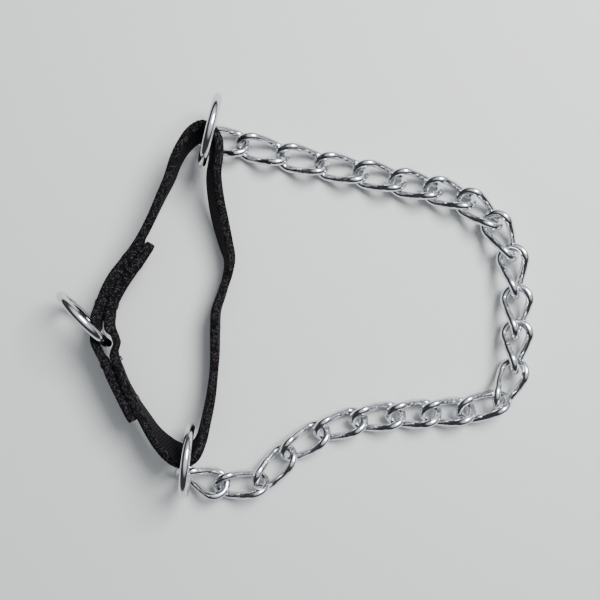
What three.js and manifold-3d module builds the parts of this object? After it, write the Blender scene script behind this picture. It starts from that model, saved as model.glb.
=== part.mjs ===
// Martingale collar (half-check collar): a loop of black webbing that runs through two steel rings,
// 22 twisted steel links between those rings, and a leash ring held between the two sewn layers.
// Millimetres, +Z up. The collar lies on the ground plane z = 0, with the origin under its middle.
import * as THREE from 'three';
import Module from 'manifold-3d';

// ---- driving dimensions ----------------------------------------------------------------------
const CHAIN_WIRE = 3.0;       // wire of a chain link
const LINK_LENGTH = 22.8;     // over the outside of a link
const LINK_WIDTH = 13.0;      // over the outside of a link
const LINK_TWIST = 43;        // degrees that each end of a link is turned about its long axis
const RING_OUTER = 29.0;      // outside diameter of the three rings
const RING_WIRE = 3.5;
const STRAP_WIDTH = 13.0;     // webbing, measured up its face
const STRAP_THICK = 3.1;
const GAP = 0.3;              // running clearance between pieces
const BARTACK_HEIGHT = 9.6;   // thread bars that close the overlap of the webbing
const BARTACK_WIDTH = 1.8;
const BARTACK_PROUD = 0.35;

const MIDDLE = [1.90, -0.85];  // plan middle of the collar as its places are listed below

// ---- fineness --------------------------------------------------------------------------------
const LINK_STEPS = 36;
const LINK_SIDES = 8;
const RING_STEPS = 44;
const RING_SIDES = 10;
const STRAP_STEPS = 120;

// Plan places where the chain hooks from link to link: upper ring, 21 link pairs, lower ring.
// Third value: how far the next link rolls over about its long axis, in degrees.
const HOOKS = [
  [-34.2, 64.0, 9], [-20.3, 61.4, 0], [-4.3, 57.2, 0], [11.6, 53.5, 0], [26.7, 50.4, -4],
  [41.9, 46.8, -6], [55.5, 43.8, -8], [69.0, 39.4, -10], [79.6, 31.4, -14], [86.8, 18.6, -20],
  [88.9, 3.4, -22], [88.9, -12.0, -22], [88.7, -27.2, -5], [82.9, -40.5, 11], [68.4, -44.6, 0],
  [54.6, -45.4, 0], [41.0, -46.2, 0], [26.1, -48.0, 0], [11.5, -52.6, 0], [-2.1, -61.3, 0],
  [-12.7, -73.4, 8], [-28.5, -74.4, -18], [-42.2, -69.8, 0],
];

const SLACK_HOOK = 11;        // links 11 and 12 hook each other loosely

// The webbing from its inner tail to its outer tail: plan place of its upper edge, height of that
// edge, and how many degrees the upper edge leans out of the loop.
const STRAP_ROUTE = [
  [-54.0, 20.6, 20.3, -10], [-58.6, 13.6, 20.3, -10], [-62.8, 7.6, 20.3, -11], [-66.4, 1.7, 20.3, -11],
  [-69.0, -4.2, 20.3, -11], [-69.2, -7.6, 20.3, -11], [-69.1, -10.8, 20.3, -11], [-67.9, -14.0, 20.3, -11],
  [-67.1, -17.2, 20.3, -11], [-67.9, -20.4, 20.3, -11], [-66.9, -24.6, 20.3, -11],
  [-64.7, -31.4, 20.0, -10], [-61.2, -39.2, 19.6, -7], [-57.4, -46.4, 19.8, -2],
  [-54.6, -51.6, 20.4, 3], [-51.6, -56.2, 21.2, 11], [-48.0, -60.2, 22.0, 19],
  [-44.2, -62.7, 22.6, 26], [-40.4, -62.7, 22.8, 25], [-36.8, -60.4, 22.6, 20],
  [-34.5, -55.0, 21.4, 11], [-33.1, -48.0, 18.6, 9], [-31.6, -38.5, 15.0, 8],
  [-30.7, -24.7, 13.2, 4], [-30.7, -12.0, 13.2, 2], [-30.3, -4.6, 13.2, 2], [-27.8, 2.3, 13.2, 4],
  [-24.9, 10.8, 13.2, 8], [-24.0, 16.2, 13.2, 12], [-24.9, 22.8, 13.4, 18], [-26.4, 31.2, 14.6, 22],
  [-27.8, 39.1, 17.0, 22], [-28.6, 48.1, 20.0, 20], [-27.7, 55.2, 22.0, 18],
  [-27.9, 60.4, 22.8, 16], [-30.4, 64.6, 23.0, 18], [-34.4, 66.5, 23.0, 20],
  [-38.7, 64.2, 22.9, 13], [-42.2, 59.3, 22.6, 4], [-45.0, 53.5, 22.2, -1], [-47.4, 46.2, 21.6, -4],
  [-50.7, 38.4, 21.0, -8], [-54.0, 30.8, 20.6, -10], [-57.2, 24.6, 20.3, -10],
  [-60.4, 19.4, 20.3, -10], [-65.0, 13.4, 20.3, -10], [-68.7, 8.6, 20.3, -11], [-71.4, 3.6, 20.3, -11],
  [-73.5, -1.8, 20.3, -11], [-75.5, -7.2, 20.3, -11], [-75.6, -12.4, 20.6, -11], [-75.7, -16.2, 20.6, -11],
  [-74.3, -19.6, 20.3, -11], [-71.6, -24.9, 20.3, -11], [-69.0, -30.9, 20.0, -10],
  [-66.0, -37.4, 19.6, -8], [-62.8, -43.8, 19.8, -4], [-61.3, -46.8, 19.8, -3],
];

// Rings: plan centre, plan direction of the ring's face in degrees, lean of the top, height.
const RINGS = {
  upper_slide_ring: { x: -32.0, y: 64.6, turn: 76, lean: -8.8, lift: 3.3 },
  lower_slide_ring: { x: -40.8, y: -62.4, turn: 84, lean: -3.4, lift: 1.3 },
  leash_ring: { x: -80.9, y: -7.9, turn: -46, lean: 7.8, lift: 0 },
};

// Bartacks: place on the seam between the two layers, the seam's direction in degrees with the
// outside of the loop on its left, and how many degrees the top leans into the loop.
const BARTACKS = {
  inner_tail_bartack: { x: -62.5, y: 14.6, z: 13.7, turn: 54, tilt: 10 },
  upper_ring_bartack: { x: -72.4, y: -2.0, z: 13.7, turn: 76, tilt: 11 },
  lower_ring_bartack: { x: -70.8, y: -24.7, z: 13.7, turn: 115, tilt: 11 },
  outer_tail_bartack: { x: -64.0, y: -40.0, z: 13.2, turn: 116, tilt: 7 },
};

const wasm = await Module();
wasm.setup();
const { Manifold, Mesh } = wasm;

const deg = THREE.MathUtils.degToRad;
const steel = (shade) => new THREE.MeshStandardMaterial({ color: shade, roughness: 0.16, metalness: 1 });
const webbing = new THREE.MeshStandardMaterial({ color: 0x0d0d0f, roughness: 0.92, metalness: 0 });
const thread = new THREE.MeshStandardMaterial({ color: 0x1b1b1e, roughness: 0.8, metalness: 0 });

// ---- solids ----------------------------------------------------------------------------------
function toManifold(geometry) {
  const plain = geometry.index ? geometry : mergeByPlace(geometry);
  const mesh = new Mesh({
    numProp: 3,
    vertProperties: Float32Array.from(plain.attributes.position.array),
    triVerts: Uint32Array.from(plain.index.array),
  });
  mesh.merge();
  return new Manifold(mesh);
}

function mergeByPlace(geometry) {
  const seen = new Map();
  const { array } = geometry.attributes.position;
  const points = [];
  const index = [];
  for (let i = 0; i < array.length; i += 3) {
    const key = [0, 1, 2].map((k) => Math.round(array[i + k] * 1e4)).join();
    if (!seen.has(key)) {
      seen.set(key, points.length / 3);
      points.push(array[i], array[i + 1], array[i + 2]);
    }
    index.push(seen.get(key));
  }
  return indexed(points, index);
}

function indexed(points, index) {
  const geometry = new THREE.BufferGeometry();
  geometry.setAttribute('position', new THREE.Float32BufferAttribute(points, 3));
  geometry.setIndex(index);
  return geometry;
}

function toGeometry(manifold) {
  const mesh = manifold.getMesh();
  const points = [];
  for (let i = 0; i < mesh.numVert; i += 1) {
    for (let k = 0; k < 3; k += 1) points.push(mesh.vertProperties[i * mesh.numProp + k]);
  }
  return shaded(indexed(points, Array.from(mesh.triVerts)));
}

function shaded(geometry) {
  const flat = geometry.toNonIndexed();
  flat.computeVertexNormals();
  return flat;
}

function named(name, geometry, material) {
  const mesh = new THREE.Mesh(geometry, material);
  mesh.name = name;
  return mesh;
}

// A tube swept round a closed path; the ring of points at each step stands square to the path.
class LoopCurve extends THREE.Curve {
  constructor(at) {
    super();
    this.at = at;
  }

  getPoint(t, target = new THREE.Vector3()) {
    return target.copy(this.at(t));
  }
}

// ---- chain -----------------------------------------------------------------------------------
// Wire centreline of a link lying along X: two half rounds and two straights, twisted about X.
function linkPoint(t) {
  const bend = (LINK_WIDTH - CHAIN_WIRE) / 2;
  const half = (LINK_LENGTH - CHAIN_WIRE) / 2;
  const straight = 2 * (half - bend);
  const arc = Math.PI * bend;
  let s = (t % 1) * 2 * (straight + arc);
  const side = s < straight + arc ? 1 : -1;
  s %= straight + arc;
  let x = side * (-straight / 2 + s);
  let y = -side * bend;
  if (s > straight) {
    const a = (s - straight) / bend - Math.PI / 2;
    x = side * (straight / 2 + bend * Math.cos(a));
    y = side * bend * Math.sin(a);
  }
  const roll = -deg(LINK_TWIST) * Math.sin((Math.PI / 2) * THREE.MathUtils.clamp(x / (half * 0.72), -1, 1));
  return new THREE.Vector3(x, y * Math.cos(roll), y * Math.sin(roll));
}

function linkGeometry() {
  return shaded(new THREE.TubeGeometry(new LoopCurve(linkPoint), LINK_STEPS, CHAIN_WIRE / 2, LINK_SIDES, true));
}

// How far the lowest wire of a rolled link lies under the link's axis.
function linkDrop(roll) {
  let low = 0;
  for (let i = 0; i < 200; i += 1) {
    const p = linkPoint(i / 200);
    low = Math.min(low, p.y * Math.sin(roll) + p.z * Math.cos(roll));
  }
  return CHAIN_WIRE / 2 - low;
}

// The ends of a link reach equally far past its two hooks, except past a ring and at the slack
// pair halfway round.
function reach(hook) {
  if (hook === SLACK_HOOK) return CHAIN_WIRE;
  const atRing = hook === 0 || hook === HOOKS.length - 1;
  return atRing ? (CHAIN_WIRE + RING_WIRE) / 2 + GAP : 0;
}

function placeLink(number, geometry) {
  const [x0, y0, roll] = HOOKS[number - 1];
  const [x1, y1] = HOOKS[number];
  const from = new THREE.Vector3(x0, y0, 0);
  const to = new THREE.Vector3(x1, y1, 0);
  const along = to.clone().sub(from);
  const pitch = along.length();
  along.normalize();
  const centreLength = LINK_LENGTH - CHAIN_WIRE;
  const over = centreLength - pitch;
  let before = over / 2;
  if (reach(number - 1)) before = reach(number - 1);
  if (reach(number)) before = over - reach(number);
  const centre = from.addScaledVector(along, centreLength / 2 - before);
  const link = named(`chain_link_${String(number).padStart(2, '0')}`, geometry, steel(0xc3c8cd));
  link.position.set(centre.x, centre.y, linkDrop(deg(roll)));
  link.rotation.set(deg(roll), 0, Math.atan2(along.y, along.x), 'ZYX');
  return link;
}

function makeChain() {
  const chain = new THREE.Group();
  const geometry = linkGeometry();
  for (let number = 1; number < HOOKS.length; number += 1) chain.add(placeLink(number, geometry));
  return chain;
}

// ---- rings -----------------------------------------------------------------------------------
function makeRing(name, { x, y, turn, lean, lift }) {
  const radius = (RING_OUTER - RING_WIRE) / 2;
  const ring = named(name, shaded(new THREE.TorusGeometry(radius, RING_WIRE / 2, RING_SIDES, RING_STEPS)), steel(0xc9cdd1));
  ring.rotation.set(deg(90 - lean), 0, deg(turn), 'ZYX');
  ring.position.set(x, y, lift + RING_WIRE / 2 + radius * Math.cos(deg(lean)));
  return ring;
}

// ---- webbing ---------------------------------------------------------------------------------
// Section of the webbing: a flat bar with its four long corners taken off.
function strapSection() {
  const half = STRAP_THICK / 2;
  const round = STRAP_THICK * 0.28;
  const out = [];
  for (const [side, end] of [[1, 0], [-1, 0], [-1, 1], [1, 1]]) {
    const corner = [
      [side * half, end * STRAP_WIDTH + (end ? -round : round)],
      [side * (half - round), end * STRAP_WIDTH],
    ];
    out.push(...(side * (end ? 1 : -1) > 0 ? corner.reverse() : corner));
  }
  return out;
}

function strapFrames() {
  const curve = new THREE.CatmullRomCurve3(STRAP_ROUTE.map(([x, y, z]) => new THREE.Vector3(x, y, z)));
  const leanCurve = new THREE.CatmullRomCurve3(STRAP_ROUTE.map(([x, y, , lean]) => new THREE.Vector3(x, y, lean)));
  curve.arcLengthDivisions = 1200;
  const frames = [];
  for (let i = 0; i <= STRAP_STEPS; i += 1) {
    const t = curve.getUtoTmapping(i / STRAP_STEPS);
    const place = curve.getPoint(t);
    const along = curve.getTangent(t).setZ(0).normalize();
    const lean = deg(leanCurve.getPoint(t).z);
    const out = new THREE.Vector3(along.y, -along.x, 0);
    const up = new THREE.Vector3(0, 0, Math.cos(lean)).addScaledVector(out, Math.sin(lean));
    const across = new THREE.Vector3(0, 0, -Math.sin(lean)).addScaledVector(out, Math.cos(lean));
    frames.push({ place, up, across });
  }
  return frames;
}

function strapSolid() {
  const section = strapSection();
  const count = section.length;
  const points = [];
  const index = [];
  for (const { place, up, across } of strapFrames()) {
    for (const [a, drop] of section) {
      const p = place.clone().addScaledVector(across, a).addScaledVector(up, drop - STRAP_WIDTH);
      points.push(p.x, p.y, p.z);
    }
  }
  for (let i = 0; i < STRAP_STEPS; i += 1) {
    for (let k = 0; k < count; k += 1) {
      const a = i * count + k;
      const b = i * count + ((k + 1) % count);
      index.push(a, b, a + count, b, b + count, a + count);
    }
  }
  const last = STRAP_STEPS * count;
  for (let k = 1; k < count - 1; k += 1) {
    index.push(0, k + 1, k, last, last + k, last + k + 1);
  }
  return toManifold(indexed(points, index));
}

// ---- bartacks --------------------------------------------------------------------------------
function toSpot(solid, { x, y, z, turn, tilt }) {
  return solid.translate([-x, -y, -z]).rotate([0, 0, -turn]).rotate([-tilt, 0, 0]);
}

function fromSpot(solid, { x, y, z, turn, tilt }) {
  return solid.rotate([tilt, 0, 0]).rotate([0, 0, turn]).translate([x, y, z]);
}

// Where the two faces of the overlap stand at a bartack, measured square to the seam.
function seamFaces(strap, spot) {
  const slab = Manifold.cube([BARTACK_WIDTH, 6 * STRAP_THICK, BARTACK_HEIGHT], true);
  const { min, max } = toSpot(strap, spot).intersect(slab).boundingBox();
  return [min[1], max[1]];
}

// Two square cores of thread through both layers; grown, they cut the needle slots.
function cores([near, far], grow) {
  const size = BARTACK_WIDTH / 2 + 2 * grow;
  const length = far - near + 2 * (GAP + BARTACK_PROUD);
  const core = Manifold.cube([size, length, size], true).translate([0, (near + far) / 2, 0]);
  return core.translate([0, 0, BARTACK_HEIGHT / 3]).add(core.translate([0, 0, -BARTACK_HEIGHT / 3]));
}

// A thread bar on each face of the overlap, joined by the two cores.
function bartack(faces) {
  const bar = Manifold.cube([BARTACK_WIDTH, BARTACK_PROUD, BARTACK_HEIGHT], true);
  const off = GAP / 3 + BARTACK_PROUD / 2;
  const [near, far] = faces;
  const span = [near - off + GAP + BARTACK_PROUD, far + off - GAP - BARTACK_PROUD];
  return cores(span, 0).add(bar.translate([0, near - off, 0])).add(bar.translate([0, far + off, 0]));
}

// ---- assembly --------------------------------------------------------------------------------
function makeWebbing() {
  const parts = new THREE.Group();
  let strap = strapSolid();
  for (const [name, spot] of Object.entries(BARTACKS)) {
    const faces = seamFaces(strap, spot);
    parts.add(named(name, toGeometry(fromSpot(bartack(faces), spot)), thread));
    strap = strap.subtract(fromSpot(cores(faces, GAP), spot));
  }
  parts.add(named('control_strap', toGeometry(strap), webbing));
  return parts;
}

const collar = new THREE.Group();
collar.name = 'martingale_collar';
collar.add(makeWebbing(), makeChain());
for (const [name, place] of Object.entries(RINGS)) collar.add(makeRing(name, place));
collar.position.set(-MIDDLE[0], -MIDDLE[1], 0);

export default collar;
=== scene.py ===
import math
import random

import bpy
import numpy as np
from mathutils import Matrix, Vector


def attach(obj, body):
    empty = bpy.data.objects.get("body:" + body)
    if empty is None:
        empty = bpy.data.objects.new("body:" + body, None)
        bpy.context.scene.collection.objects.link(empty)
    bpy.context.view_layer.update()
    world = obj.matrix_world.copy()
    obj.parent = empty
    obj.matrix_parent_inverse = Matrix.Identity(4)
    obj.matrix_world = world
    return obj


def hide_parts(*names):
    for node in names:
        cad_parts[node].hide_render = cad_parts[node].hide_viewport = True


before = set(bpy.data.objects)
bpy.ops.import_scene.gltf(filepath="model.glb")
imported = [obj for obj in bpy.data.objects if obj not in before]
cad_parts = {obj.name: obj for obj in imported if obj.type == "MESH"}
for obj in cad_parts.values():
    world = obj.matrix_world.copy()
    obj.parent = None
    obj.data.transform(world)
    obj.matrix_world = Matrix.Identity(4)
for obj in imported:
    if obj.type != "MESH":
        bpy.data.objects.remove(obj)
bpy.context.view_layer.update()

MM = 0.001
random.seed(11)

# ---- sizes, as in the part ---------------------------------------------------------------------
CHAIN_WIRE = 3.0 * MM
LINK_LENGTH = 22.8 * MM
LINK_WIDTH = 13.0 * MM
LINK_TWIST = math.radians(43)
TWIST_REACH = 0.72            # share of half the link where the twist is complete
LINKS = 22
RING_OUTER = 29.0 * MM
RING_WIRE = 3.5 * MM
STRAP_WIDTH = 13.0 * MM
STRAP_THICK = 3.1 * MM
MIDDLE = (1.90, -0.85)        # where the whole collar's middle is in STRAP_ROUTE's plan, in millimetres

# ---- sizes of the detail, in millimetres unless the comment says otherwise -----------------------
SIDE_STRAIGHT = 0.6           # how nearly straight the drawn sides of a link are, as a share
SIDE_BLEND = 0.5              # share of each half side that runs over into the bend
LINK_MESH = (168, 20)         # steps round the loop and sides round the wire
RING_MESH = (200, 24)         # the same for a ring
LINK_WELD = 0.095             # where the weld is along a link's side, as a share of the loop
WELD_SPREAD = 0.02            # how far that varies either way, as a share of the loop
BURR_RISE, BURR_REACH = 0.10, 0.75       # height and half width of a weld's burr
GROOVE_DEPTH, GROOVE_REACH = 0.16, 0.22  # depth and half width of the groove in its middle
LOBE_THREE, LOBE_FIVE = 0.35, 0.25       # shares by which the burr is uneven in 3 and in 5 lobes
STRAP_LOFT = 0.13             # how far the yarn swells past each face of the part's solid
EDGE_ROUND = 1.0              # height of the rounding along the webbing's edges
EDGE_POWER = 0.8              # a power: below 1 makes that rounding fuller
FACE_START, FACE_BLEND = 0.7, 1.2        # from an edge: where the face begins, and how softly
ROUTE_STEPS = 24              # points from one place of the route to the next, a count
SECTION_MESH = (8, 26)        # steps round an edge and up a face
ROW_STEP = 0.32               # from one row of points to the next along the webbing
RIB = 1.35                    # from one rib to the next across the faces
RIB_DEPTH, RIB_LEVEL = 0.15, 0.6         # height of a rib, and the share of it that is sunk in
KNOT = 1.45                   # from one bump of yarn to the next along the edges
KNOT_ACROSS, KNOT_UP = 0.07, 0.05        # how far a bump stands out across and up
CUT_REACH, CUT_PINCH = 1.2, 0.18         # the webbing is pressed together at its cut ends
OVERLAP = 82.0                # how far from each cut end the two layers may face each other
OVERLAP_SEARCH = 15.0         # how far past that the other layer is looked for
LAYER_LAP = 0.04              # how far a swollen layer goes past the middle between the two
END_ROWS = 4                  # rows at each cut end that no layer swells towards, a count
SWELL_GAP, SWELL_MOST = 7.2, 3.4         # widest spacing that is filled, and the most half thickness
SWELL_SMOOTH = 11             # rows that the swelling is averaged over, an odd count
POCKET = np.array([-72.0 - MIDDLE[0], -17.1 - MIDDLE[1]])      # where the leash ring's wire passes
POCKET_ROOM = 3.25            # how far from there swollen webbing stays
POCKET_REACH = 12.0           # how far from there the webbing is pressed thinner
POCKET_EASE = 4.0             # the distance that the thinning comes on over
POCKET_TRIM = 0.17            # share of the thickness that is pressed away
THREAD_RADIUS = 0.15
THREAD_PASSES = 25            # passes of the zigzag on each face, a count
THREAD_STEP = 0.3             # about how long one step along the thread is
THREAD_SINK = 0.31            # from the part's bar down to the middle of the thread
THREAD_INSET = (0.3, 0.5)     # from the bar's width and height

# ---- the scene, in metres ------------------------------------------------------------------------
FLOOR_HALF = 3.0
FLOOR_DROP = 0.0002           # keeps the floor just under what rests on it
CAMERA_PLACE = (0.00075, 0.00045, 0.330)
VIEW_WIDTH = 0.243            # width of floor that the picture shows
SENSOR_WIDTH = 36
KEY_PLACE, KEY_SIZE, KEY_POWER = (0.34, 0.30, 0.62), 0.40, 12
SKY_TOWARDS = (0.34, 0.30, 0.90)
SKY_COLOUR = (0.86, 0.90, 0.96, 1)
SKY_EDGES = (0.45, 0.92)      # cosines off SKY_TOWARDS where the light is gone and where it is full
SKY_STRENGTH = (0.06, 1.25)   # of the dark room and of the light

# The webbing from its inner tail to its outer tail, in millimetres: plan place of its upper edge,
# height of that edge, and how many degrees the upper edge leans out of the loop.
STRAP_ROUTE = [
    (-54.0, 20.6, 20.3, -10), (-58.6, 13.6, 20.3, -10), (-62.8, 7.6, 20.3, -11), (-66.4, 1.7, 20.3, -11),
    (-69.0, -4.2, 20.3, -11), (-69.2, -7.6, 20.3, -11), (-69.1, -10.8, 20.3, -11),
    (-67.9, -14.0, 20.3, -11), (-67.1, -17.2, 20.3, -11), (-67.9, -20.4, 20.3, -11),
    (-66.9, -24.6, 20.3, -11), (-64.7, -31.4, 20.0, -10), (-61.2, -39.2, 19.6, -7),
    (-57.4, -46.4, 19.8, -2), (-54.6, -51.6, 20.4, 3), (-51.6, -56.2, 21.2, 11), (-48.0, -60.2, 22.0, 19),
    (-44.2, -62.7, 22.6, 26), (-40.4, -62.7, 22.8, 25), (-36.8, -60.4, 22.6, 20), (-34.5, -55.0, 21.4, 11),
    (-33.1, -48.0, 18.6, 9), (-31.6, -38.5, 15.0, 8), (-30.7, -24.7, 13.2, 4), (-30.7, -12.0, 13.2, 2),
    (-30.3, -4.6, 13.2, 2), (-27.8, 2.3, 13.2, 4), (-24.9, 10.8, 13.2, 8), (-24.0, 16.2, 13.2, 12),
    (-24.9, 22.8, 13.4, 18), (-26.4, 31.2, 14.6, 22), (-27.8, 39.1, 17.0, 22), (-28.6, 48.1, 20.0, 20),
    (-27.7, 55.2, 22.0, 18), (-27.9, 60.4, 22.8, 16), (-30.4, 64.6, 23.0, 18), (-34.4, 66.5, 23.0, 20),
    (-38.7, 64.2, 22.9, 13), (-42.2, 59.3, 22.6, 4), (-45.0, 53.5, 22.2, -1), (-47.4, 46.2, 21.6, -4),
    (-50.7, 38.4, 21.0, -8), (-54.0, 30.8, 20.6, -10), (-57.2, 24.6, 20.3, -10), (-60.4, 19.4, 20.3, -10),
    (-65.0, 13.4, 20.3, -10), (-68.7, 8.6, 20.3, -11), (-71.4, 3.6, 20.3, -11), (-73.5, -1.8, 20.3, -11),
    (-75.5, -7.2, 20.3, -11), (-75.6, -12.4, 20.6, -11), (-75.7, -16.2, 20.6, -11),
    (-74.3, -19.6, 20.3, -11), (-71.6, -24.9, 20.3, -11), (-69.0, -30.9, 20.0, -10),
    (-66.0, -37.4, 19.6, -8), (-62.8, -43.8, 19.8, -4), (-61.3, -46.8, 19.8, -3),
]


# ---- node helpers ------------------------------------------------------------------------------
class Nodes:
    """A short way to write a material's node tree."""

    def __init__(self, name):
        self.material = bpy.data.materials.new(name)
        self.material.use_nodes = True
        self.tree = self.material.node_tree
        self.bsdf = self.tree.nodes["Principled BSDF"]

    def add(self, kind, **settings):
        node = self.tree.nodes.new(kind)
        for key, value in settings.items():
            setattr(node, key, value)
        return node

    def put(self, value, socket):
        if isinstance(value, bpy.types.NodeSocket):
            self.tree.links.new(value, socket)
        elif value is not None:
            socket.default_value = value

    def math(self, operation, a, b=None, clamp=False):
        node = self.add("ShaderNodeMath", operation=operation, use_clamp=clamp)
        for value, socket in zip((a, b), node.inputs):
            self.put(value, socket)
        return node.outputs[0]

    def span(self, value, low, high, out_low=0.0, out_high=1.0):
        node = self.add("ShaderNodeMapRange")
        for key, number in zip(("Value", "From Min", "From Max", "To Min", "To Max"),
                               (value, low, high, out_low, out_high)):
            self.put(number, node.inputs[key])
        return node.outputs[0]

    def mix(self, factor, a, b):
        node = self.add("ShaderNodeMix", data_type="RGBA")
        self.put(factor, node.inputs[0])
        self.put(a, node.inputs[6])
        self.put(b, node.inputs[7])
        return node.outputs[2]

    def noise(self, vector, scale, detail=2.0, rough=0.5):
        node = self.add("ShaderNodeTexNoise")
        self.put(vector, node.inputs["Vector"])
        self.put(scale, node.inputs["Scale"])
        self.put(detail, node.inputs["Detail"])
        self.put(rough, node.inputs["Roughness"])
        return node.outputs["Fac"]

    def scaled(self, vector, x, y, z=1.0):
        node = self.add("ShaderNodeMapping")
        self.put(vector, node.inputs["Vector"])
        self.put((x, y, z), node.inputs["Scale"])
        return node.outputs[0]

    def bump(self, height, strength, distance):
        node = self.add("ShaderNodeBump")
        self.put(height, node.inputs["Height"])
        self.put(strength, node.inputs["Strength"])
        self.put(distance, node.inputs["Distance"])
        self.put(node.outputs[0], self.bsdf.inputs["Normal"])

    def set(self, **values):
        for key, value in values.items():
            self.put(value, self.bsdf.inputs[key.replace("_", " ")])


def plated_steel(name, tone, soft):
    """Bright nickel plating on drawn wire: faint draw lines along the wire, smears and small pits."""
    n = Nodes(name)
    uv = n.add("ShaderNodeUVMap", uv_map="wire").outputs[0]
    place = n.add("ShaderNodeTexCoord").outputs["Object"]
    draw = n.noise(n.scaled(uv, 60, 2600), 1.0, 3.0, 0.6)
    smear = n.noise(place, 260.0, 4.0, 0.6)
    pits = n.noise(place, 2600.0, 2.0, 0.5)
    rough = n.math("ADD", n.span(smear, 0.3, 0.75, soft * 0.7, soft * 1.5),
                   n.span(draw, 0.35, 0.75, 0.0, 0.06))
    dark = tuple(c * 0.80 for c in tone)
    n.set(Base_Color=n.mix(n.span(smear, 0.35, 0.7), (*dark, 1), (*tone, 1)),
          Metallic=1.0, Roughness=rough)
    height = n.math("ADD", n.math("MULTIPLY", draw, 0.5),
                    n.math("MULTIPLY", n.span(pits, 0.62, 0.75), -0.6))
    n.bump(height, 0.12, 0.00012)
    return n.material


def webbing_material():
    """Black nylon webbing: ribs across the faces, their crests painted lighter and the troughs between
    them painted darker as shade, grey yarn flecks crowded along the two edges.
    """
    n = Nodes("black_nylon_webbing")
    split = n.add("ShaderNodeSeparateXYZ")
    n.put(n.add("ShaderNodeUVMap", uv_map="weave").outputs[0], split.inputs[0])
    along, face = split.outputs[0], split.outputs[1]      # metres along; 0 at an edge, 1 on a face
    girth = n.add("ShaderNodeUVMap", uv_map="girth").outputs[0]
    fine = n.noise(n.scaled(girth, 2600, 1500), 1.0, 3.0, 0.65)
    patch = n.noise(n.scaled(girth, 420, 420), 1.0, 2.0, 0.5)
    cells = n.add("ShaderNodeTexVoronoi", voronoi_dimensions="2D", feature="F1")
    n.put(n.scaled(girth, 2250, 1350), cells.inputs["Vector"])
    n.put(1.0, cells.inputs["Scale"])
    n.put(0.95, cells.inputs["Randomness"])
    tint = n.add("ShaderNodeSeparateColor")
    n.put(cells.outputs["Color"], tint.inputs[0])
    dot = n.span(cells.outputs["Distance"], 0.12, 0.52, 1.0, 0.0)
    pick = n.span(n.math("ADD", tint.outputs[0], n.math("MULTIPLY", patch, 0.5)), 0.62, 1.30)
    lit = n.math("MULTIPLY", dot, pick, clamp=True)
    fleck = n.math("MULTIPLY", lit, n.span(face, 0.15, 0.85, 1.0, 0.12), clamp=True)
    yarn = n.mix(tint.outputs[1], (0.058, 0.060, 0.067, 1), (0.094, 0.074, 0.081, 1))
    rib = n.math("ABSOLUTE", n.math("SINE", n.math("MULTIPLY", along, math.pi / (RIB * MM))))
    # Painted light and shade on the ribs: crests painted lighter, troughs painted darker, fading out
    # towards the edges.
    painted_rib_light = n.math("MULTIPLY", n.span(rib, 0.35, 1.0), n.math("ADD", n.math("MULTIPLY", face, 0.8), 0.2))
    shade = n.math("MULTIPLY", painted_rib_light, n.span(fine, 0.25, 0.7, 0.45, 1.0))
    # Base colour: the painted rib shade, mixed with random tone from the fine noise.
    base = n.mix(shade, (0.0014, 0.0014, 0.0018, 1), (0.0135, 0.0125, 0.0145, 1))
    n.set(Base_Color=n.mix(fleck, base, yarn), Roughness=n.span(fine, 0.3, 0.7, 0.66, 0.88),
          Specular_IOR_Level=0.07)
    ribbed = n.math("MULTIPLY", n.math("MULTIPLY", rib, face), 0.7)
    yarns = n.math("ADD", n.math("MULTIPLY", dot, 0.8), ribbed)
    n.bump(n.math("ADD", yarns, n.math("MULTIPLY", fine, 0.4)), 0.6, 0.0003)
    return n.material


def thread_material():
    """Bonded nylon thread with a twist."""
    n = Nodes("black_bonded_thread")
    uv = n.add("ShaderNodeUVMap", uv_map="wire").outputs[0]
    twist = n.add("ShaderNodeTexWave", wave_type="BANDS", bands_direction="DIAGONAL")
    n.put(n.scaled(uv, 2200, 900), twist.inputs["Vector"])
    n.put(1.0, twist.inputs["Scale"])
    n.put(1.2, twist.inputs["Distortion"])
    n.set(Base_Color=n.mix(twist.outputs["Fac"], (0.008, 0.008, 0.009, 1), (0.03, 0.03, 0.033, 1)),
          Roughness=0.55)
    n.bump(twist.outputs["Fac"], 0.5, 0.00008)
    return n.material


def floor_material():
    """Pale matt board with a faint grain."""
    n = Nodes("pale_floor")
    place = n.add("ShaderNodeTexCoord").outputs["Object"]
    grain = n.noise(place, 900.0, 4.0, 0.6)
    n.set(Base_Color=n.mix(grain, (0.58, 0.59, 0.58, 1), (0.64, 0.65, 0.64, 1)), Roughness=0.85)
    n.bump(grain, 0.12, 0.0002)
    return n.material


CHAIN_STEEL = plated_steel("plated_chain_steel", (0.72, 0.73, 0.76), 0.13)
RING_STEEL = plated_steel("plated_ring_steel", (0.75, 0.76, 0.78), 0.10)
WEBBING = webbing_material()
THREAD = thread_material()


# ---- mesh helpers ------------------------------------------------------------------------------
def mesh_object(name, points, faces, material, uvs):
    """uvs: {layer name: one (u, v) for each corner of each face, in order}."""
    mesh = bpy.data.meshes.new(name)
    mesh.from_pydata([tuple(p) for p in points], [], faces)
    for layer_name, values in uvs.items():
        layer = mesh.uv_layers.new(name=layer_name)
        layer.data.foreach_set("uv", np.asarray(values, float).ravel())
    mesh.polygons.foreach_set("use_smooth", [True] * len(mesh.polygons))
    mesh.materials.append(material)
    mesh.update()
    thing = bpy.data.objects.new(name, mesh)
    bpy.context.scene.collection.objects.link(thing)
    return thing


def grid_faces(rows, columns, closed_rows):
    """Quads between rows of points, each row a closed ring, and their (row, column) corners."""
    faces, corners = [], []
    for i in range(rows if closed_rows else rows - 1):
        j = (i + 1) % rows
        for k in range(columns):
            m = (k + 1) % columns
            faces.append((i * columns + k, i * columns + m, j * columns + m, j * columns + k))
            corners += [(i, k), (i, k + 1), (i + 1, k + 1), (i + 1, k)]
    return faces, np.array(corners, float)


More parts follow.
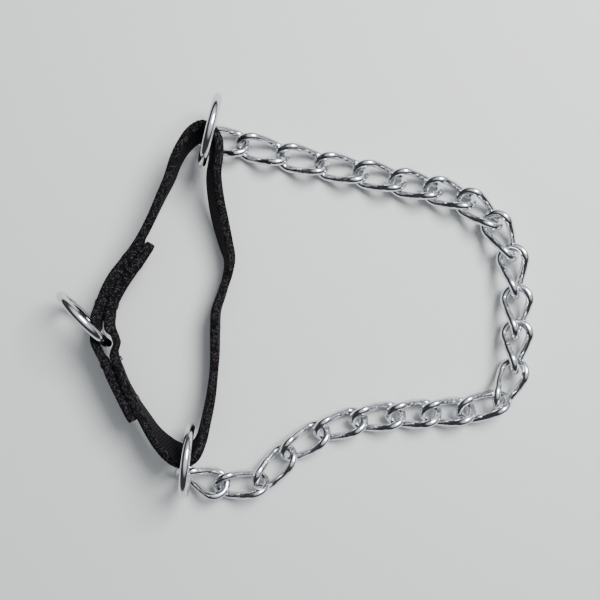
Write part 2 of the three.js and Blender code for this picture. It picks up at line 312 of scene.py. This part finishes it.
def swept_loop(name, centres, radii, sides, material):
    """A tube round a closed path; radii gives the wire's radius at each step and side."""
    centres = np.asarray(centres, float)
    steps = len(centres)
    tangents = np.roll(centres, -1, 0) - np.roll(centres, 1, 0)
    tangents /= np.linalg.norm(tangents, axis=1)[:, None]
    normal = np.cross(tangents[0], (0, 0, 1.0))
    # A path that starts nearly upright needs another direction to measure from.
    if np.linalg.norm(normal) < 0.1:
        normal = np.cross(tangents[0], (1.0, 0, 0))
    normals = []
    for t in tangents:
        normal = normal - t * normal.dot(t)
        normal /= np.linalg.norm(normal)
        normals.append(normal.copy())
    first = normals[0]
    last = normal - tangents[0] * normal.dot(tangents[0])
    last /= np.linalg.norm(last)
    slip = math.atan2(np.cross(last, first).dot(tangents[0]), last.dot(first))
    points = []
    for i in range(steps):
        turn = slip * i / steps
        sideways = np.cross(tangents[i], normals[i])
        for k in range(sides):
            a = 2 * math.pi * k / sides + turn
            points.append(centres[i] + radii[i][k] * (math.cos(a) * normals[i] + math.sin(a) * sideways))
    faces, corners = grid_faces(steps, sides, True)
    length = np.linalg.norm(np.roll(centres, -1, 0) - centres, axis=1).sum()
    girth = 2 * math.pi * float(np.mean(radii))
    uv = np.stack([corners[:, 0] * length / steps, corners[:, 1] * girth / sides], 1)
    return mesh_object(name, points, faces, material, {"wire": uv})


def ease(t):
    """0 to 1 with a level start and end, for t clamped to 0 to 1."""
    t = min(1.0, max(0.0, t))
    return t * t * (3 - 2 * t)


def node_axes(node):
    """Middle of a CAD node's surface and its long, middle and short axes, as a place to put a piece."""
    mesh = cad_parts[node].data
    mesh.calc_loop_triangles()
    at = np.array([v.co for v in mesh.vertices], float)
    corners = at[np.array([t.vertices[:] for t in mesh.loop_triangles])]
    edges = corners[:, 1:] - corners[:, :1]
    area = np.linalg.norm(np.cross(edges[:, 0], edges[:, 1]), axis=1) / 2
    middle = (corners.mean(1) * area[:, None]).sum(0) / area.sum()
    corners = corners - middle
    total = corners.sum(1)
    spread = np.einsum("t,tci,tcj->ij", area, corners, corners)
    spread += np.einsum("t,ti,tj->ij", area, total, total)
    axes = np.linalg.eigh(spread)[1][:, ::-1]
    axes[:, 2] = np.cross(axes[:, 0], axes[:, 1])
    return Matrix.Translation(Vector(middle)) @ Matrix([list(row) for row in axes]).to_4x4()


# ---- chain -------------------------------------------------------------------------------------
def twisted(x, y, half):
    """A point of the flat link, turned about its long axis as far as the twist has gone there."""
    reach = min(1.0, max(-1.0, x / (half * TWIST_REACH)))
    roll = -LINK_TWIST * math.sin(math.pi / 2 * reach)
    return np.array([x, y * math.cos(roll), y * math.sin(roll)])


def link_path(steps):
    """The wire's middle line round one twisted link, starting at one end of a side."""
    bend = (LINK_WIDTH - CHAIN_WIRE) / 2
    half = (LINK_LENGTH - CHAIN_WIRE) / 2
    straight, arc = 2 * (half - bend), math.pi * bend
    path = []
    for i in range(steps):
        s = 2 * (straight + arc) * i / steps
        side = 1 if s < straight + arc else -1
        s %= straight + arc
        if s > straight:
            a = (s - straight) / bend - math.pi / 2
            x, y = side * (straight / 2 + bend * math.cos(a)), side * bend * math.sin(a)
            point = twisted(x, y, half)
        else:
            x, y = side * (s - straight / 2), -side * bend
            point = twisted(x, y, half)
            u = 2 * x / straight
            ends = twisted(straight / 2, y, half), twisted(-straight / 2, y, half)
            chord = (1 + u) / 2 * ends[0] + (1 - u) / 2 * ends[1]
            point = point + (chord - point) * SIDE_STRAIGHT * ease((1 - abs(u)) / SIDE_BLEND)
        path.append(point)
    return np.array(path)


def wire_radii(steps, sides, radius, weld_at, length):
    """Nearly round wire with the burr and groove of a butt weld at one place."""
    phase = random.uniform(0, 6.28)
    radii = np.full((steps, sides), radius)
    for i in range(steps):
        off = (i / steps - weld_at + 0.5) % 1.0 - 0.5
        s = off * length / MM
        burr = BURR_RISE * math.exp(-(s / BURR_REACH) ** 2)
        burr -= GROOVE_DEPTH * math.exp(-(s / GROOVE_REACH) ** 2)
        for k in range(sides):
            a = 2 * math.pi * k / sides
            uneven = 1 + LOBE_THREE * math.sin(3 * a + phase) + LOBE_FIVE * math.sin(5 * a + 2 * phase)
            radii[i, k] += burr * MM * uneven
    return radii


def make_links():
    steps, sides = LINK_MESH
    path = link_path(steps)
    length = np.linalg.norm(np.roll(path, -1, 0) - path, axis=1).sum()
    for number in range(1, LINKS + 1):
        node = f"chain_link_{number:02d}"
        side = random.choice((0.0, 0.5))
        weld_at = (side + LINK_WELD + random.uniform(-WELD_SPREAD, WELD_SPREAD)) % 1.0
        radii = wire_radii(steps, sides, CHAIN_WIRE / 2, weld_at, length)
        link = swept_loop(f"twisted_link_{number:02d}", path, radii, sides, CHAIN_STEEL)
        link.data.transform(node_axes(node))
        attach(link, f"link_{number:02d}")
        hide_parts(node)


def make_rings():
    steps, sides = RING_MESH
    radius = (RING_OUTER - RING_WIRE) / 2
    turns = np.linspace(0, 2 * math.pi, steps, endpoint=False)
    path = np.stack([radius * np.cos(turns), radius * np.sin(turns), turns * 0], 1)
    for node, body, weld_at in (("upper_slide_ring", "upper_ring", 0.62),
                                ("lower_slide_ring", "lower_ring", 0.12),
                                ("leash_ring", "leash_ring", 0.30)):
        radii = wire_radii(steps, sides, RING_WIRE / 2, weld_at, 2 * math.pi * radius)
        ring = swept_loop(f"welded_{node}", path, radii, sides, RING_STEEL)
        ring.data.transform(node_axes(node))
        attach(ring, body)
        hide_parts(node)


# ---- webbing -----------------------------------------------------------------------------------
def smooth_route(route, per_span):
    """A centripetal Catmull-Rom curve through the points, as in the part."""
    p = np.array(route, float)
    p = np.vstack([2 * p[0] - p[1], p, 2 * p[-1] - p[-2]])
    out = []
    for i in range(1, len(p) - 2):
        p0, p1, p2, p3 = p[i - 1:i + 3]
        pairs = (p0, p1), (p1, p2), (p2, p3)
        d0, d1, d2 = (max(np.linalg.norm((b - a)[:3]) ** 0.5, 1e-4) for a, b in pairs)
        t1 = ((p1 - p0) / d0 - (p2 - p0) / (d0 + d1) + (p2 - p1) / d1) * d1
        t2 = ((p2 - p1) / d1 - (p3 - p1) / (d1 + d2) + (p3 - p2) / d2) * d1
        for k in range(per_span):
            t = k / per_span
            out.append((2 * t**3 - 3 * t**2 + 1) * p1 + (t**3 - 2 * t**2 + t) * t1
                       + (3 * t**2 - 2 * t**3) * p2 + (t**3 - t**2) * t2)
    out.append(p[-2])
    return np.array(out)


def even_steps(curve, spacing):
    """The curve again at even spacing, with how far along it each point is."""
    run = np.concatenate([[0], np.cumsum(np.linalg.norm(np.diff(curve[:, :3], axis=0), axis=1))])
    count = int(run[-1] / spacing)
    at = np.linspace(0, run[-1], count + 1)
    return at, np.stack([np.interp(at, run, curve[:, c]) for c in range(curve.shape[1])], 1)


def strap_section(across, up):
    """Closed outline of the webbing: (offset across, offset up, 0 at an edge to 1 on a face)."""
    half, wide = STRAP_THICK / 2 + STRAP_LOFT * MM, STRAP_WIDTH
    round_up = EDGE_ROUND * MM
    out = []
    for side in (1, -1):
        for k in range(up + 1):
            t = k / up
            z = round_up + (wide - 2 * round_up) * (t if side > 0 else 1 - t)
            from_edge = min(z, wide - z) / MM
            out.append((side * half, z - wide, min(1.0, max(0.0, (from_edge - FACE_START) / FACE_BLEND))))
        for k in range(1, across):
            a = math.pi * k / across
            rise = round_up * math.sin(a) ** EDGE_POWER - round_up
            out.append((side * half * math.cos(a), rise if side > 0 else -wide - rise, 0.0))
    return np.array(out)


def facing_swell(at, line):
    """How much thicker each row is on the side that faces the other sewn layer, so that the two touch:
    +1.2 is a fifth more on the outward side, and -1.2 on the inward side."""
    half = (STRAP_THICK / MM + 2 * STRAP_LOFT) / 2
    plan = line[:, :2]
    size, way = np.ones(len(line)), np.ones(len(line))
    for i in range(len(line)):
        inner = at[i] < OVERLAP
        if not inner and at[-1] - at[i] > OVERLAP:
            continue
        reach = OVERLAP + OVERLAP_SEARCH
        other = np.flatnonzero(at > at[-1] - reach if inner else at < reach)
        away = np.linalg.norm(plan[other] - plan[i], axis=1)
        apart, nearest = away.min(), other[away.argmin()]
        way[i] = 1 if inner else -1
        clear = np.linalg.norm(plan[i] - POCKET) - POCKET_ROOM
        if END_ROWS <= nearest < len(line) - END_ROWS and apart < SWELL_GAP:
            size[i] = max(1.0, min(apart / 2 + LAYER_LAP, clear, SWELL_MOST) / half)
    spread = np.hanning(SWELL_SMOOTH) / np.hanning(SWELL_SMOOTH).sum()
    return np.convolve(np.pad(size, SWELL_SMOOTH // 2, mode="edge"), spread, mode="valid") * way


def strap_points(at, line, section):
    """The section at every row: leaning, ribbed, knotted along the edges, and swollen in the overlap."""
    swell = facing_swell(at, line)
    along = np.gradient(line[:, :2], axis=0)
    along /= np.linalg.norm(along, axis=1)[:, None]
    out = np.stack([along[:, 1], -along[:, 0]], 1)
    points = []
    for i in range(len(line)):
        lean = math.radians(line[i, 3])
        up = np.array([*(out[i] * math.sin(lean)), math.cos(lean)])
        side = np.array([*(out[i] * math.cos(lean)), -math.sin(lean)])
        top = line[i, :3] * MM
        from_end = min(at[i], at[-1] - at[i])
        from_ring = np.linalg.norm(line[i, :2] - POCKET)
        squeeze = 1 - CUT_PINCH * math.exp(-(from_end / CUT_REACH) ** 2)
        squeeze *= 1 - POCKET_TRIM * ease((POCKET_REACH - from_ring) / POCKET_EASE)
        wave = abs(math.sin(math.pi * at[i] / RIB)) - RIB_LEVEL
        for k, (a, z, face) in enumerate(section):
            knot = math.sin(2 * math.pi * (at[i] / KNOT + (0.5 if k % 2 else 0.0)))
            lift = face * RIB_DEPTH * wave + (1 - face) * KNOT_ACROSS * knot
            grow = 1 + lift * MM / (STRAP_THICK / 2)
            if a * swell[i] > 0:
                grow *= abs(swell[i])
            points.append(top + side * a * grow * squeeze + up * (z + (1 - face) * KNOT_UP * MM * knot))
    return points


def strap_faces(rows, section, step):
    """Faces with both cut ends closed, and two maps: along by edge-to-face, and along by girth."""
    columns = len(section)
    ring = np.linalg.norm(np.roll(section[:, :2], -1, 0) - section[:, :2], axis=1)
    girth = np.concatenate([[0], np.cumsum(ring)])
    faces, corners = grid_faces(rows, columns, False)
    index = corners.astype(int)
    uvs = {
        "weave": np.stack([index[:, 0] * step, section[:, 2][index[:, 1] % columns]], 1),
        "girth": np.stack([index[:, 0] * step, girth[index[:, 1]]], 1),
    }
    last = (rows - 1) * columns
    faces.append(tuple(range(columns))[::-1])
    faces.append(tuple(range(last, last + columns)))
    caps = []
    for row, order in ((0, range(columns - 1, -1, -1)), (rows - 1, range(columns))):
        caps += [(row * step + section[k, 0], girth[k]) for k in order]
    return faces, {name: np.vstack([values, np.array(caps)]) for name, values in uvs.items()}


def make_strap():
    route = [(x - MIDDLE[0], y - MIDDLE[1], z, lean) for x, y, z, lean in STRAP_ROUTE]
    at, line = even_steps(smooth_route(route, ROUTE_STEPS), ROW_STEP)
    section = strap_section(*SECTION_MESH)
    faces, uvs = strap_faces(len(line), section, at[1] * MM)
    points = strap_points(at, line, section)
    strap = mesh_object("woven_control_strap", points, faces, WEBBING, uvs)
    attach(strap, "control_loop")
    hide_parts("control_strap")


def zigzag(low, high):
    """Corners of a closed thread that runs down one face of a bar and back up the other."""
    order = np.argsort(high - low)                  # along the seam, through the layers, up
    wide, deep, tall = (high - low)[order]
    corners = []
    for face in (1, -1):
        for k in range(THREAD_PASSES + 1):
            way = k if face > 0 else THREAD_PASSES - k
            local = np.zeros(3)
            local[order[0]] = (0.5 if way % 2 else -0.5) * (wide - THREAD_INSET[0] * MM)
            local[order[1]] = face * (deep / 2 - THREAD_SINK * MM)
            local[order[2]] = (way / THREAD_PASSES - 0.5) * (tall - THREAD_INSET[1] * MM)
            corners.append(local + (low + high) / 2)
    return corners


def make_bartacks():
    """Dense zigzag stitches on both faces of the sewn tails, over the bars of the part."""
    sides = 8
    for node in ("inner_tail_bartack", "upper_ring_bartack", "lower_ring_bartack", "outer_tail_bartack"):
        pose = node_axes(node)
        points = np.array([pose.inverted() @ v.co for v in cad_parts[node].data.vertices])
        corners = zigzag(points.min(0), points.max(0))
        path = []
        for a, b in zip(corners, corners[1:] + corners[:1]):
            count = max(2, int(np.linalg.norm(b - a) / (THREAD_STEP * MM)))
            path += [a + (b - a) * t / count for t in range(count)]
        radii = np.full((len(path), sides), THREAD_RADIUS * MM)
        thread = swept_loop(f"stitched_{node}", path, radii, sides, THREAD)
        thread.data.transform(pose)
        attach(thread, "control_loop")
        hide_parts(node)


# ---- stage -------------------------------------------------------------------------------------
def make_floor():
    corners = [(x * FLOOR_HALF, y * FLOOR_HALF, 0) for x, y in ((-1, -1), (1, -1), (1, 1), (-1, 1))]
    floor = mesh_object("pale_floor", corners, [(0, 1, 2, 3)], floor_material(), {})
    floor.location.z = -FLOOR_DROP


def make_key_light():
    light = bpy.data.lights.new("key_softbox", "AREA")
    light.shape, light.size, light.energy = "DISK", KEY_SIZE, KEY_POWER
    thing = bpy.data.objects.new("key_softbox", light)
    thing.location = KEY_PLACE
    thing.rotation_euler = (-Vector(KEY_PLACE)).to_track_quat("-Z", "Y").to_euler()
    bpy.context.scene.collection.objects.link(thing)


def make_world():
    """A broad soft light overhead and towards the far right, over a dark room."""
    world = bpy.data.worlds.new("studio")
    world.use_nodes = True
    tree = world.node_tree
    place = tree.nodes.new("ShaderNodeTexCoord")
    towards = tree.nodes.new("ShaderNodeVectorMath")
    towards.operation = "DOT_PRODUCT"
    towards.inputs[1].default_value = Vector(SKY_TOWARDS).normalized()
    glow = tree.nodes.new("ShaderNodeMapRange")
    glow.interpolation_type = "SMOOTHSTEP"
    for key, number in zip(("From Min", "From Max", "To Min", "To Max"), SKY_EDGES + SKY_STRENGTH):
        glow.inputs[key].default_value = number
    tree.links.new(place.outputs["Generated"], towards.inputs[0])
    tree.links.new(towards.outputs["Value"], glow.inputs["Value"])
    tree.links.new(glow.outputs[0], tree.nodes["Background"].inputs[1])
    tree.nodes["Background"].inputs[0].default_value = SKY_COLOUR
    bpy.context.scene.world = world


def make_camera():
    """Straight down on the middle of the collar."""
    data = bpy.data.cameras.new("overhead_camera")
    data.sensor_width = SENSOR_WIDTH
    data.lens = SENSOR_WIDTH * CAMERA_PLACE[2] / VIEW_WIDTH
    data.clip_start, data.clip_end = 0.01, 20
    camera = bpy.data.objects.new("overhead_camera", data)
    camera.location = CAMERA_PLACE
    bpy.context.scene.collection.objects.link(camera)
    bpy.context.scene.camera = camera


make_camera()
make_key_light()
make_world()
make_floor()
make_links()
make_rings()
make_strap()
make_bartacks()
